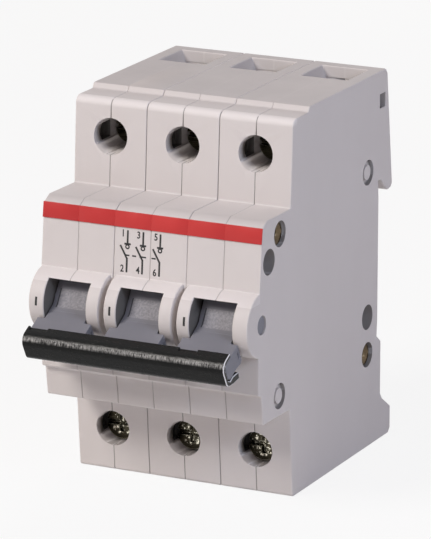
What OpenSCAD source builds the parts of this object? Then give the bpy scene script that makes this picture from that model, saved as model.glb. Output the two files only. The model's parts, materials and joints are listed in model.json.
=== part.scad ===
// Three-pole modular switch for a 35 mm rail: half shells riveted in pairs, one tied
// handle, a double-break contact set in each pole, and lift clamps at top and bottom.
// X runs across the poles, +Y goes into the rail, +Z is up.  The origin lies on the
// rail seat, on the rail's centre line and in the middle of the width.

/* [Housing] */
// Width of one pole
pole_w = 17.5; // [17:0.1:20]
// Height of the top face above the rail's centre line
rise = 42.5; // [41:0.5:48]
// Depth of the bottom face below the rail's centre line
drop = 43.5; // [43:0.5:48]
// Distance of the terminal faces from the rail seat
shoulder_depth = 45.2; // [44.5:0.1:47]
// Distance of the nose front from the rail seat
nose_depth = 61.5; // [61:0.1:63]
// Height of the nose above and below the rail's centre line
nose_rise = 22.2; // [21.5:0.1:24]
// Thickness of the walls at the front, the top and the rear
wall = 1.5; // [1.2:0.1:2]
// Thickness of the side walls
side_wall = 1.3; // [1:0.1:1.6]
// Rounding where the top and bottom edges meet the terminal faces
edge_r = 1.8; // [1:0.1:2.5]
// Width of the top step behind the terminal faces
ledge_w = 6.3; // [4:0.1:9]
// Height of the top step
ledge_step = 1.2; // [0.6:0.1:2]
// Width of the groove between the cheeks of neighbouring poles
cheek_groove = 1.3; // [0.6:0.1:1.6]
// Height of the coloured strip across the nose
strip_h = 3.4; // [2:0.1:4]
// Thickness of the coloured strip
strip_t = 0.25; // [0.2:0.05:0.5]

/* [Rail seat] */
// Width of the mounting rail over its two flanges
rail_w = 35; // [34.8:0.1:35.2]
// Depth of the upper hook and of the foot behind the rail seat
hook_depth = 7.6; // [7:0.1:9]
// Depth of the relief beside the seat face
seat_relief = 0.25; // [0.2:0.05:0.4]
// Height of the seat face that bears on the rail
seat_h = 30; // [26:0.5:31]

/* [Rail clip] */
// Width of the rail clip
clip_w = 9; // [7:0.5:10]
// Thickness of the rail clip
clip_t = 2; // [1.8:0.1:2.2]
// Travel of the rail clip when it is pulled down
clip_travel = 3.5; // [2.5:0.1:4]
// Overlap of the clip's nose behind the rail flange
clip_bite = 1.3; // [1:0.1:1.6]
// Sliding clearance round the clip
clip_gap = 0.3; // [0.25:0.05:0.4]
// Length of the clip spring
clip_spring_l = 7; // [6.5:0.1:8]
// Wire radius of the springs
spring_wire_r = 0.3; // [0.2:0.05:0.35]
// Number of turns of a spring
spring_turns = 5; // [4:1:6]

/* [Handle] */
// Depth of the handle pivot in front of the rail seat
pivot_depth = 60.5; // [60:0.1:61]
// Height of the handle pivot
pivot_z = -0.2; // [-0.5:0.1:0.5]
// Radius of the cheeks beside the handle
cheek_r = 7.2; // [7:0.1:7.4]
// Width of the handle opening in one pole
opening_w = 10.2; // [9.4:0.1:11]
// Angle of the handle below the horizontal when it is off
handle_angle = 27.5; // [25:0.5:28]
// Radius of the handle's drum
drum_r = 5.2; // [5.1:0.1:5.4]
// Radius of the trunnions that carry the handle
trunnion_r = 2.1; // [1.8:0.1:2.3]
// Distance of the handle's tip from its pivot
handle_reach = 14.6; // [13.5:0.1:16]
// Width of the handle's paddle in front of the cheeks
paddle_w = 13.1; // [11.5:0.1:14.5]
// Thickness of the paddle
paddle_t = 4.4; // [3.6:0.05:4.6]
// Wall of the tie bar
bar_wall = 0.95; // [0.8:0.05:1.3]
// Overhang of the tie bar past the outer paddles
bar_overhang = 0.1; // [0.1:0.1:0.6]
// Running clearance of the trunnions and the crank pins
running_gap = 0.05; // [0.03:0.01:0.08]
// Clearance between moving pieces
moving_gap = 0.3; // [0.25:0.05:0.35]

/* [Contacts] */
// Distance of the crank pin from the handle pivot
crank_r = 4; // [3.9:0.05:4.1]
// Radius of the crank pin
crank_pin_r = 0.8; // [0.6:0.05:0.9]
// Thickness of the yoke plate
yoke_t = 1.2; // [0.8:0.1:1.6]
// Width of the contact carrier
carrier_w = 8; // [7:0.1:8.6]
// Height of the contact carrier
carrier_h = 11; // [10:0.1:11.2]
// Length of the contact carrier
carrier_l = 15; // [14:0.5:17]
// Depth of the carrier's front face at rest, in front of the rail seat
carrier_depth = 48.5; // [48:0.1:49]
// Length of the contact bridge
bridge_l = 24; // [23:0.5:24.5]
// Width of the contact bridge
bridge_w = 4.8; // [4:0.1:5]
// Thickness of the copper strips
strip_copper = 1.5; // [1.2:0.1:1.6]
// Radius of the contact pads
pad_r = 1.8; // [1.4:0.1:1.9]
// Thickness of the contact pads
pad_t = 0.7; // [0.5:0.1:0.8]
// Number of plates in an arc chute
chute_plates = 9; // [6:1:9]
// Pitch of the arc plates
chute_pitch = 2.2; // [2:0.1:2.4]
// Thickness of an arc plate
chute_plate_t = 1; // [0.8:0.1:1.2]

/* [Terminals] */
// Height of the upper terminal screws above the rail's centre line
upper_screw_z = 33; // [32.5:0.1:33.5]
// Depth of the lower terminal screws below the rail's centre line
lower_screw_z = 33.6; // [33:0.1:34.2]
// Radius of the screwdriver holes
driver_hole_r = 4.1; // [3.9:0.1:4.4]
// Depth of the upper screw heads' seats in front of the rail seat
upper_head_depth = 33.4; // [33:0.1:34]
// Depth of the lower screw heads' seats in front of the rail seat
lower_head_depth = 38.4; // [38:0.1:39]
// Height of the slots beside the screwdriver tunnels
tunnel_slot_h = 4.1; // [3.6:0.1:4.6]
// Radius of the screw head
head_r = 3.7; // [3.4:0.1:3.75]
// Height of the screw head
head_h = 2.6; // [2:0.1:3]
// Radius of the screw shank
shank_r = 2.5; // [2:0.1:2.6]
// Pitch of the screw thread
thread_pitch = 0.8; // [0.7:0.05:0.8]
// Turns of the screw between open and clamped
screw_turns = 10; // [8:1:10]
// Outer width of the clamp cage
cage_w = 10; // [9.5:0.1:10.4]
// Height of the clamp cage
cage_h = 9; // [8:0.1:9.4]
// Thickness of the cage's side walls
cage_side = 1; // [0.8:0.1:1.2]
// Thickness of the cage's threaded wall
cage_nut = 2.5; // [2:0.1:2.6]
// Thickness of the cage's rear wall
cage_back = 1.4; // [1.2:0.1:1.5]
// Width of the wire window in the housing
window_w = 11.3; // [10.6:0.1:12]
// Length of the wire window, front to back
window_l = 11.4; // [10.6:0.1:11.8]
// Depth of the bus plate's rear face in front of the rail seat
bus_depth = 11.2; // [11:0.1:11.6]
// Width of the bus plate
bus_w = 7; // [6:0.1:7.4]

/* [Side details] */
// Radius of the holes in the side faces
side_hole_r = 2.9; // [2.6:0.1:3]
// Depth of the accessory holes
side_hole_depth = 3; // [2.6:0.1:3.4]
// Depth of the recesses for the rivet heads
rivet_recess = 1.6; // [1.2:0.1:2]
// Radius of the tubular rivets
rivet_r = 1.5; // [1.2:0.1:1.7]
// Side of the square locating hole
square_hole = 3.2; // [2.5:0.1:4]

/* [Hidden] */
$fn = 48;
cut = 1;
pole_count = 3;
half_w = pole_w / 2;
body_w = pole_w * pole_count;
inner_half = half_w - side_wall;
seat_front_y = -seat_relief;

// Housing outline, as distances in Y and Z
shoulder_y = -shoulder_depth;
shoulder_draft = 1;
nose_y = -nose_depth;
nose_drop = nose_rise + 0.6;
nose_slope = 0.9;
strip_top_y = nose_y + 1.4;
strip_top_z = nose_rise - 1.2;
strip_low_y = nose_y + nose_slope;
strip_low_z = strip_top_z - strip_h;
bevel_y = nose_y + 3.7;
brow_z = cheek_r + pivot_z;
chin_z = -cheek_r + pivot_z;
lip_z = -16.2;
lip_step = 1.6;
ledge_y = shoulder_y + ledge_w + edge_r + 0.4;
ledge_z = rise - ledge_step;
foot_top_z = -34.2;
foot_slope = 3;
seat_bottom_z = -rail_w / 2 - 1.1;
hollow_y = 2;
hook_z = 14.7;
hook_notch = 1.1;
rear_top_y = 3.4;
corner = 1;
foot_edge = 0.4;

// Handle
pivot_y = -pivot_depth;
opening_half = opening_w / 2;
drum_half = opening_half - moving_gap;
opening_top_z = 5.3;
opening_bottom_z = -7.1;
drum_room_r = drum_r + 0.25;
boss_r = trunnion_r + 2.1;
blade_top = 0.95;
blade_bottom = blade_top - paddle_t;
paddle_start = cheek_r + 0.35;
paddle_half = paddle_w / 2;
paddle_swell = 0.5;
crank_travel = 2 * crank_r * sin(handle_angle);
crank_rise = crank_r * (1 - cos(handle_angle));
pin_y = pivot_y + crank_r * sin(handle_angle);
pin_mid_z = pivot_z - crank_r * cos(handle_angle) - crank_rise / 2;
bar_half = body_w / 2 - half_w + paddle_half + bar_overhang;
bar_play = 0.3;
bar_top = blade_top + 0.08 + bar_wall;
bar_tip = -handle_reach - bar_play - bar_wall;
bar_low = blade_bottom - 0.15 - bar_wall;
bar_slot_half = 2.1;
bar_slot_front = 1.9;
bar_slot_depth = 0.45;
bar_cover = 3.1;
bar_lip = 4.4;
bar_front_r = 2.2;
bar_under_r = 1.7;
bar_slot_spots = [-pole_w - 3.9, pole_w - 3];
groove_half = yoke_t / 2 + 0.4;

// Cut above the drum's sloping front, and cut for the yoke below it, in the handle's frame
drum_cap = [[8, 7.8], [-3.3, 1.15], [-6.2, blade_top], [-20, blade_top], [-20, 10], [8, 10]];
drum_groove = [[-2.9, -6], [-2.9, -2.9], [-1.3, -1.6], [1.3, -1.6], [2.4, -2.1], [6, -0.2], [6, -6]];

// Yoke, sized about the middle of the crank pin's rise
yoke_slot_r = crank_pin_r + 0.12;
yoke_eye_w = 1.75;
yoke_eye_h = 1.6;
yoke_arm_z = 0.3;
yoke_root = 1.6;
seat_play = 0.02;

// Contacts
carrier_y = -carrier_depth;
carrier_half = carrier_w / 2;
carrier_front = 3.5;
carrier_back = 1.5;
carrier_tongue = 1.8;
guide_z = carrier_tongue / 2 + 0.15;
guide_t = 1.2;
bridge_y = carrier_y + carrier_front;
contact_spring_l = carrier_y + carrier_l - carrier_back - bridge_y - strip_copper;
contact_spring_r = 1.7;
pad_z = bridge_l / 2 - pad_r - 0.2;
fixed_pad_y = bridge_y - pad_t - crank_travel - moving_gap;
fixed_y = fixed_pad_y - pad_t - strip_copper;
fixed_z = bridge_l / 2 + strip_copper;
fixed_low_z = pad_z - pad_r - 0.2;
bus_y = -bus_depth;
bus_end = 4.2;
chute_y = bridge_y + strip_copper + 1.5;
chute_half = inner_half - 0.15;
chute_card = 1.1;
chute_low = carrier_h / 2 + 0.8;
chute_high = fixed_z - 0.4;
notch_w = 1.5;

// Terminals
cage_half = cage_w / 2;
cage_y = 0.2;
cage_travel = thread_pitch * screw_turns;
cage_front_y = bus_y - strip_copper - 2.3 - cage_nut;
shank_end_y = bus_y - strip_copper - 0.5;
chamber_half = cage_half + 0.4;
chamber_h = cage_h + 1;
chamber_back_y = cage_y + 0.4;
chamber_front_y = cage_front_y - cage_travel - 0.7;
tunnel_slot_y = shoulder_y - shoulder_draft / 2 + 3.1;
tunnel_slot_l = 4.9;
tunnel_slot_out = 1.6;
window_back_y = 0.4;
window_front_y = window_back_y - window_l;
window_sink = 3.6;
window_throat = chamber_half - 0.8;
driver_slot = 0.9;
driver_cross = 4.2;
driver_depth = 1.2;

// Chambers of the housing
mech_z = 20.6;
mech_back_y = -seat_relief - wall;
mech_front_y = shoulder_y - shoulder_draft + wall;
nose_inner_y = strip_low_y + wall + 0.2;
nose_inner_z = nose_rise - wall - 0.4;

// Rail clip
clip_y = hollow_y + 0.25;
clip_top_z = -rail_w / 2 + clip_bite;
clip_nose_y = 1.3;
clip_nose_h = 3;
clip_end_z = -drop + 0.3;
clip_window_w = 3;
clip_window_top = -24;
clip_window_low = clip_window_top - clip_spring_l - 1.2 - clip_travel;
stop_z = clip_window_top - clip_spring_l;
stop_h = 1;

// Side holes, each as distance in Y and Z from the rail's centre line
rivet_spots = [[-51.7, 17.8], [-5.6, -21.6]];
accessory_spots = [[-57.1, 12.9], [-5.7, -12.8]];
locating_spots = [[-6, 20.7], [-51.6, -18.4]];
square_spot = [1.9, 35.5];
locating_depth = 0.9;
locating_boss_r = 1.7;
locating_sink = 0.2;
square_depth = 2.5;
rivet_head_r = side_hole_r - 0.2;
rivet_head_h = 0.8;
rivet_half = body_w / 2 - rivet_recess + rivet_head_h;
rivet_bore_r = 0.9;
rivet_mouth_r = 2.3;
rivet_mouth_depth = 0.95;
boss_wall = 1.2;

POLES = [1:pole_count];
function pole_names(stem, tail = "") = [for (p = POLES) str(stem, "_", p, tail)];

// ---- helpers -------------------------------------------------------------

// Places a piece in pole p, counted from the left
module in_pole(p) translate([(p - (pole_count + 1) / 2) * pole_w, 0, 0]) children();

// Extrudes an outline drawn in Y and Z from x0 to x1
module across(x0, x1)
    translate([x0, 0, 0]) rotate([90, 0, 90]) linear_extrude(x1 - x0) children();

// Block between two corners
module block(low, high) translate(low) cube(high - low);

// Round bar along X and along Y
module x_rod(x0, x1, y, z, r) translate([x0, y, z]) rotate([0, 90, 0]) cylinder(h = x1 - x0, r = r);
module y_rod(y0, y1, z, r) translate([0, y0, z]) rotate([-90, 0, 0]) cylinder(h = y1 - y0, r = r);

// Copy of a half, mirrored for the left side
module both_sides() {
    children();
    mirror([1, 0, 0]) children();
}

// Frame of the handle: its -Y runs from the pivot to the tip, tilted to the off position
module handle_frame() translate([0, pivot_y, pivot_z]) rotate([handle_angle, 0, 0]) children();

// Points of an arc about c
function arc(c, r, from, to, steps = 6) =
    [for (k = [0:steps]) let (a = from + (to - from) * k / steps) c + r * [cos(a), sin(a)]];

// Coil spring along Z, standing on z = 0
module coil(length, mean_r, wire_r) {
    sides = 6;
    per_turn = 12;
    rings = spring_turns * per_turn;
    pitch_z = (length - 2 * wire_r) / rings;
    points = [for (i = [0:rings]) let (a = 360 * i / per_turn)
        for (k = [0:sides - 1]) let (b = 360 * k / sides, r = mean_r + wire_r * cos(b))
            [r * cos(a), r * sin(a), wire_r + pitch_z * i + wire_r * sin(b)]];
    side_faces = [for (i = [0:rings - 1], k = [0:sides - 1])
        let (n = (k + 1) % sides, here = i * sides, next = (i + 1) * sides)
            each [[here + k, here + n, next + n], [here + k, next + n, next + k]]];
    caps = [[for (k = [sides - 1:-1:0]) k], [for (k = [0:sides - 1]) rings * sides + k]];
    polyhedron(points, concat(side_faces, caps), convexity = 10);
}

// ---- housing -------------------------------------------------------------

// Side outline of a pole, clockwise from the top's front edge
function housing_outline() = concat(
    [[ledge_y, rise], [ledge_y - 0.7, ledge_z], [shoulder_y + edge_r + 0.4, ledge_z]],
    arc([shoulder_y + edge_r, ledge_z - edge_r], edge_r, 90, 180),
    [[shoulder_y - shoulder_draft, nose_rise - 0.2], [bevel_y, nose_rise],
     [strip_top_y, strip_top_z], [strip_low_y, strip_low_z], [nose_y, brow_z],
     [nose_y - 0.4, chin_z], [nose_y - 0.5, lip_z + 0.6], [nose_y - 0.5 + lip_step, lip_z],
     [nose_y + 2, -nose_drop], [shoulder_y - shoulder_draft, -nose_drop - 0.3],
     [shoulder_y + 0.6, -drop + foot_edge], [shoulder_y + 0.6 + foot_edge, -drop],
     [hook_depth - corner, -drop], [hook_depth, -drop + corner],
     [hook_depth, foot_top_z - foot_slope], [hollow_y + 1.1, foot_top_z],
     [hollow_y, foot_top_z + 1.5], [hollow_y, seat_bottom_z - 1.7],
     [seat_front_y, seat_bottom_z], [seat_front_y, -seat_h / 2], [0, -seat_h / 2],
     [0, hook_z - 0.7], [seat_front_y, hook_z - 0.7], [seat_front_y, rail_w / 2],
     [hook_notch, rail_w / 2 - 0.1], [hook_depth - 3.6, hook_z],
     [hook_depth - 2.4, hook_z - 0.5],
     [hook_depth - 1, hook_z - 0.25], [hook_depth - 0.2, hook_z + 0.6],
     [rear_top_y + 0.9, rise - 1.2], [rear_top_y, rise]]);

// Chambers, windows and slots of the right half, all symmetric about x = 0
module housing_hollows() {
    block([-cut, mech_front_y - cut, -mech_z], [inner_half, mech_back_y, mech_z]);
    block([-cut, nose_inner_y, -nose_inner_z], [inner_half, mech_front_y, nose_inner_z]);
    block([-cut, nose_y - 2 * cheek_r, opening_bottom_z],
          [opening_half, nose_inner_y + cut, opening_top_z]);
    x_rod(-cut, opening_half, pivot_y, pivot_z, drum_room_r);
    terminal_hollow(upper_screw_z, -upper_head_depth, rise);
    mirror([0, 0, 1]) terminal_hollow(lower_screw_z, -lower_head_depth, drop);
    clip_hollow();
}

// Screw tunnel, clamp chamber, bus slot and wire window of one terminal
module terminal_hollow(screw_z, head_y, face_z) {
    y_rod(shoulder_y - shoulder_draft - cut, head_y, screw_z, driver_hole_r);
    block([-cut, tunnel_slot_y, screw_z - tunnel_slot_h / 2],
          [driver_hole_r + tunnel_slot_out, min(tunnel_slot_y + tunnel_slot_l, head_y),
           screw_z + tunnel_slot_h / 2]);
    y_rod(head_y - cut, chamber_front_y + cut, screw_z, shank_r + moving_gap);
    block([-cut, chamber_front_y, screw_z - chamber_h / 2],
          [chamber_half, chamber_back_y, screw_z + chamber_h / 2]);
    block([-cut, bus_y - strip_copper - 0.1, mech_z - cut],
          [bus_w / 2 + moving_gap, bus_y + 0.1, screw_z]);
    window_funnel(face_z);
    block([-cut, window_front_y, screw_z],
          [window_throat, chamber_back_y, face_z - window_sink + cut]);
}

// Funnel of a wire window, narrowing from the face inwards
module window_funnel(face_z)
    translate([0, window_back_y, 0]) rotate([90, 0, 0]) linear_extrude(window_l)
        polygon([[-cut, face_z - window_sink], [window_throat, face_z - window_sink],
                 [window_w / 2, face_z], [window_w / 2, face_z + cut], [-cut, face_z + cut]]);

// Slot of the rail clip through the foot, and the room that its nose slides in
module clip_hollow() {
    block([-cut, hollow_y, -drop - cut],
          [clip_w / 2 + clip_gap, clip_y + clip_t + clip_gap, foot_top_z + 2]);
    block([-cut, clip_nose_y - clip_gap, clip_top_z - clip_nose_h - clip_travel - clip_gap],
          [clip_w / 2 + clip_gap, hollow_y + cut, seat_bottom_z]);
}

// Bosses and ribs inside the right half
module housing_ribs() {
    x_rod(opening_half, half_w, pivot_y, pivot_z, boss_r);
    for (s = rivet_spots) x_rod(0, half_w, s[0], s[1], rivet_r + boss_wall);
    intersection() {
        across(0, half_w) polygon(housing_outline());
        for (s = concat(accessory_spots, rivet_spots))
            x_rod(half_w - side_hole_depth - boss_wall, half_w, s[0], s[1], side_hole_r + boss_wall);
    }
    for (side = [0, 1]) mirror([0, 0, side])
        block([carrier_half + 0.2, carrier_y - crank_travel - 1, guide_z],
              [half_w - side_wall / 2, carrier_y + carrier_l + 1, guide_z + guide_t]);
    block([0, hollow_y - cut, stop_z - stop_h],
          [clip_window_w / 2 - clip_gap, clip_y + clip_t - 0.2, stop_z]);
}

// Right half of a pole; groove trims its cheek where another pole stands beside it
module shell_half(groove) {
    difference() {
        union() {
            difference() {
                union() {
                    across(0, half_w) polygon(housing_outline());
                    intersection() {
                        x_rod(0, half_w - groove, pivot_y, pivot_z, cheek_r);
                        block([-cut, nose_y - cheek_r, -cheek_r - cut],
                              [half_w, nose_y + cut, cheek_r + cut]);
                    }
                }
                housing_hollows();
            }
            housing_ribs();
        }
        x_rod(opening_half - cut, half_w + cut, pivot_y, pivot_z, trunnion_r + running_gap);
        for (s = rivet_spots) {
            x_rod(-cut, half_w, s[0], s[1], rivet_r + running_gap);
            x_rod(half_w - rivet_recess, half_w + cut, s[0], s[1], side_hole_r);
        }
        for (s = accessory_spots)
            x_rod(half_w - side_hole_depth, half_w + cut, s[0], s[1], side_hole_r);
        for (s = locating_spots) difference() {
            x_rod(half_w - locating_depth, half_w + cut, s[0], s[1], side_hole_r);
            x_rod(half_w - locating_depth - cut, half_w - locating_sink, s[0], s[1], locating_boss_r);
        }
        translate([half_w, square_spot[0], square_spot[1]])
            cube([2 * square_depth, square_hole, square_hole], center = true);
    }
}

module pole_right_shell(p)
    color("gainsboro") in_pole(p) shell_half(p < pole_count ? cheek_groove / 2 : 0);

module pole_left_shell(p)
    color("gainsboro") in_pole(p) mirror([1, 0, 0]) shell_half(p > 1 ? cheek_groove / 2 : 0);

// Tubular rivets through all the poles, flared to a funnel in each outer recess
module housing_rivets() color("darkgoldenrod")
    for (s = rivet_spots) difference() {
        union() {
            x_rod(-rivet_half, rivet_half, s[0], s[1], rivet_r);
            both_sides() x_rod(rivet_half - rivet_head_h, rivet_half, s[0], s[1], rivet_head_r);
        }
        x_rod(-body_w, body_w, s[0], s[1], rivet_bore_r);
        both_sides() translate([rivet_half, s[0], s[1]]) rotate([0, -90, 0])
            cylinder(rivet_mouth_depth, rivet_mouth_r, rivet_bore_r);
    }

// Coloured strip on the sloping face above the marking field
module front_strip() color("firebrick")
    across(-body_w / 2, body_w / 2)
        polygon([[strip_top_y, strip_top_z], [strip_low_y, strip_low_z],
                 [strip_low_y - strip_t, strip_low_z], [strip_top_y - strip_t, strip_top_z]]);

// ---- handle --------------------------------------------------------------

// Drum and paddle of one pole, with the trunnions and the groove for the yoke
module toggle(p) color("slategray") in_pole(p) handle_frame() {
    difference() {
        union() {
            x_rod(-drum_half, drum_half, 0, 0, drum_r);
            block([-drum_half, -paddle_start - cut, blade_bottom], [drum_half, 0, blade_top]);
        }
        across(-half_w, half_w) polygon(drum_cap);
        across(-groove_half, groove_half) polygon(drum_groove);
        x_rod(-drum_half + cut, drum_half - cut, 0, -crank_r, crank_pin_r);
    }
    difference() {
        paddle_blade();
        both_sides() translate([paddle_half, -paddle_start - 0.9, -1.4])
            cube([1, 0.7, 1.5], center = true);
    }
    both_sides() x_rod(drum_half - cut / 2, half_w - moving_gap, 0, 0, trunnion_r);
}

// Wide part of the handle, with a rounded tip
module paddle_blade()
    across(-paddle_half, paddle_half)
        polygon(concat([[-paddle_start, blade_top], [-paddle_start, blade_bottom],
                        [-paddle_start - 0.9, blade_bottom - paddle_swell],
                        [-handle_reach + bar_lip, blade_bottom]],
            arc([-handle_reach + 1.2, blade_bottom + 1.2], 1.2, 270, 180, 3),
            arc([-handle_reach + 1.2, blade_top - 1.2], 1.2, 180, 90, 3)));

// Outline of the tie bar's wall: over the paddles, round their tips and back below them
function bar_outline() = concat(
    [[-handle_reach + bar_cover, bar_top]],
    arc([bar_tip + bar_front_r, bar_top - bar_front_r], bar_front_r, 90, 180),
    arc([bar_tip + bar_under_r, bar_low + bar_under_r], bar_under_r, 180, 250),
    [[-handle_reach + 1.3, bar_low - 0.6], [-handle_reach + bar_lip - 0.3, bar_low - 1.5],
     [-handle_reach + bar_lip, bar_low + bar_wall - 0.9], [-handle_reach + 2, bar_low + bar_wall],
     [-handle_reach + 0.4, bar_low + bar_wall], [-handle_reach - bar_play, bar_low + bar_wall + 0.8],
     [-handle_reach - bar_play, bar_top - bar_wall - 0.9], [-handle_reach + 0.5, bar_top - bar_wall],
     [-handle_reach + bar_cover, bar_top - bar_wall]]);

module tie_bar() color([0.08, 0.08, 0.09]) handle_frame() difference() {
    across(-bar_half, bar_half) polygon(bar_outline());
    for (x = bar_slot_spots)
        block([x - bar_slot_half, -handle_reach + bar_slot_front, bar_top - bar_slot_depth],
              [x + bar_slot_half, -handle_reach + bar_cover + cut, bar_top + cut]);
}

// Steel pins that drive the yokes, one in each drum
module crank_pins() color("lightgray")
    for (p = POLES) in_pole(p) handle_frame()
        x_rod(-drum_half + cut, drum_half - cut, 0, -crank_r, crank_pin_r);

// ---- contact set ---------------------------------------------------------

// Steel plate with an upright slot round the crank pin, seated in the carrier
module yoke(p) color("silver") in_pole(p) difference() {
    union() {
        block([-yoke_t / 2, pin_y - yoke_eye_w, pin_mid_z - yoke_eye_h],
              [yoke_t / 2, pin_y + yoke_eye_w, pin_mid_z + yoke_eye_h]);
        block([-yoke_t / 2, pin_y, pin_mid_z - yoke_eye_h],
              [yoke_t / 2, carrier_y + yoke_root, pin_mid_z + yoke_arm_z]);
    }
    for (side = [-1, 1])
        x_rod(-yoke_t, yoke_t, pin_y, pin_mid_z + side * crank_rise / 2, yoke_slot_r);
    block([-yoke_t, pin_y - yoke_slot_r, pin_mid_z - crank_rise / 2],
          [yoke_t, pin_y + yoke_slot_r, pin_mid_z + crank_rise / 2]);
}

// Moulded frame that holds the bridge and its spring, and slides on two tongues
module contact_carrier(p) color("dimgray") in_pole(p) difference() {
    union() {
        block([-carrier_half, carrier_y, -carrier_h / 2],
              [carrier_half, carrier_y + carrier_l, carrier_h / 2]);
        block([-inner_half + 0.25, carrier_y + 1, -carrier_tongue / 2],
              [inner_half - 0.25, carrier_y + carrier_l - 1, carrier_tongue / 2]);
    }
    block([-bridge_w / 2 - moving_gap, bridge_y, -carrier_h],
          [bridge_w / 2 + moving_gap, carrier_y + carrier_l - carrier_back, carrier_h]);
    block([-yoke_t / 2 - seat_play, carrier_y - cut, pin_mid_z - yoke_eye_h - seat_play],
          [yoke_t / 2 + seat_play, carrier_y + yoke_root, pin_mid_z + yoke_arm_z + seat_play]);
}

// Copper bridge with a contact pad near each end
module contact_bridge(p) color("peru") in_pole(p) {
    block([-bridge_w / 2, bridge_y, -bridge_l / 2],
          [bridge_w / 2, bridge_y + strip_copper, bridge_l / 2]);
    for (side = [-1, 1]) y_rod(bridge_y - pad_t, bridge_y + strip_copper / 2, side * pad_z, pad_r);
}

module contact_spring(p) color("gray") in_pole(p)
    translate([0, bridge_y + strip_copper, 0]) rotate([-90, 0, 0])
        coil(contact_spring_l, contact_spring_r, spring_wire_r);

// Copper strip from the contact pad to the clamp
module fixed_contact(end_z) {
    y_rod(fixed_y + strip_copper / 2, fixed_pad_y, pad_z, pad_r);
    across(-bus_w / 2, bus_w / 2)
        polygon([[fixed_y, fixed_low_z], [fixed_y, fixed_z + strip_copper],
                 [bus_y - strip_copper, fixed_z + strip_copper], [bus_y - strip_copper, end_z],
                 [bus_y, end_z], [bus_y, fixed_z], [fixed_y + strip_copper, fixed_z],
                 [fixed_y + strip_copper, fixed_low_z]]);
}

module upper_contact(p) color("peru") in_pole(p) fixed_contact(upper_screw_z + bus_end);
module lower_contact(p) color("peru") in_pole(p) mirror([0, 0, 1]) fixed_contact(lower_screw_z + bus_end);

// Stack of notched steel plates between two fibre cards, above and below the carrier
module arc_chute(p) color("dimgray") in_pole(p)
    for (side = [0, 1]) mirror([0, 0, side]) {
        for (k = [0:chute_plates - 1])
            translate([0, chute_y + k * chute_pitch + chute_plate_t, 0]) rotate([90, 0, 0])
                linear_extrude(chute_plate_t)
                    polygon([[-chute_half + chute_card, chute_low], [-notch_w, chute_low],
                             [0, chute_low + 2 * notch_w], [notch_w, chute_low],
                             [chute_half - chute_card, chute_low],
                             [chute_half - chute_card, chute_high],
                             [-chute_half + chute_card, chute_high]]);
        both_sides() block([chute_half - chute_card, chute_y - 0.4, chute_low],
                           [chute_half, chute_y + chute_plates * chute_pitch - 0.4, chute_high]);
    }

// ---- terminals -----------------------------------------------------------

// Clamp cage: a steel frame that the screw draws towards the bus plate
module clamp_cage(screw_z) difference() {
    block([-cage_half, cage_front_y, screw_z - cage_h / 2], [cage_half, cage_y, screw_z + cage_h / 2]);
    block([-cage_half + cage_side, cage_front_y + cage_nut, screw_z - cage_h],
          [cage_half - cage_side, cage_y - cage_back, screw_z + cage_h]);
    y_rod(cage_front_y - cut, cage_front_y + cage_nut + cut, screw_z, shank_r + running_gap);
}

// Screw with a slot and a cross recess in its head
module clamp_screw(screw_z, head_y) difference() {
    union() {
        y_rod(head_y - head_h, head_y, screw_z, head_r);
        y_rod(head_y - cut, shank_end_y, screw_z, shank_r);
    }
    for (size = [[2 * head_r, driver_slot], [driver_slot, driver_cross]])
        block([-size[0] / 2, head_y - head_h - cut, screw_z - size[1] / 2],
              [size[0] / 2, head_y - head_h + driver_depth, screw_z + size[1] / 2]);
}

module upper_clamp(p) color("silver") in_pole(p) clamp_cage(upper_screw_z);
module lower_clamp(p) color("silver") in_pole(p) clamp_cage(-lower_screw_z);
module upper_screw(p) color("darkkhaki") in_pole(p) clamp_screw(upper_screw_z, -upper_head_depth);
module lower_screw(p) color("darkkhaki") in_pole(p) clamp_screw(-lower_screw_z, -lower_head_depth);

// ---- rail clip -----------------------------------------------------------

// Sliding clip with a nose behind the rail's lower flange and a window for its spring
module rail_clip(p) color("dimgray") in_pole(p) difference() {
    across(-clip_w / 2, clip_w / 2)
        polygon([[clip_nose_y, clip_top_z], [clip_nose_y, clip_top_z - clip_nose_h + 1],
                 [clip_y, clip_top_z - clip_nose_h - 0.2], [clip_y, clip_end_z],
                 [clip_y + clip_t, clip_end_z], [clip_y + clip_t, clip_top_z - 1],
                 [clip_y + clip_t - 1.2, clip_top_z]]);
    block([-clip_window_w / 2, clip_y - cut, clip_window_low],
          [clip_window_w / 2, clip_y + clip_t + cut, clip_window_top]);
}

module clip_spring(p) color("gray") in_pole(p)
    translate([0, clip_y + clip_t / 2, stop_z])
        coil(clip_spring_l, clip_t / 2 - spring_wire_r - 0.05, spring_wire_r);

// ---- assembly ------------------------------------------------------------

for (p = POLES) {
    pole_left_shell(p);
    pole_right_shell(p);
    toggle(p);
    yoke(p);
    contact_carrier(p);
    contact_bridge(p);
    contact_spring(p);
    upper_contact(p);
    lower_contact(p);
    arc_chute(p);
    upper_clamp(p);
    lower_clamp(p);
    upper_screw(p);
    lower_screw(p);
    rail_clip(p);
    clip_spring(p);
}
tie_bar();
crank_pins();
housing_rivets();
front_strip();
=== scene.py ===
import json
from math import atan2, cos, hypot, pi, radians, sin, tau

import bmesh
import bpy
from mathutils import Matrix, Vector
from mathutils.bvhtree import BVHTree


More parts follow.
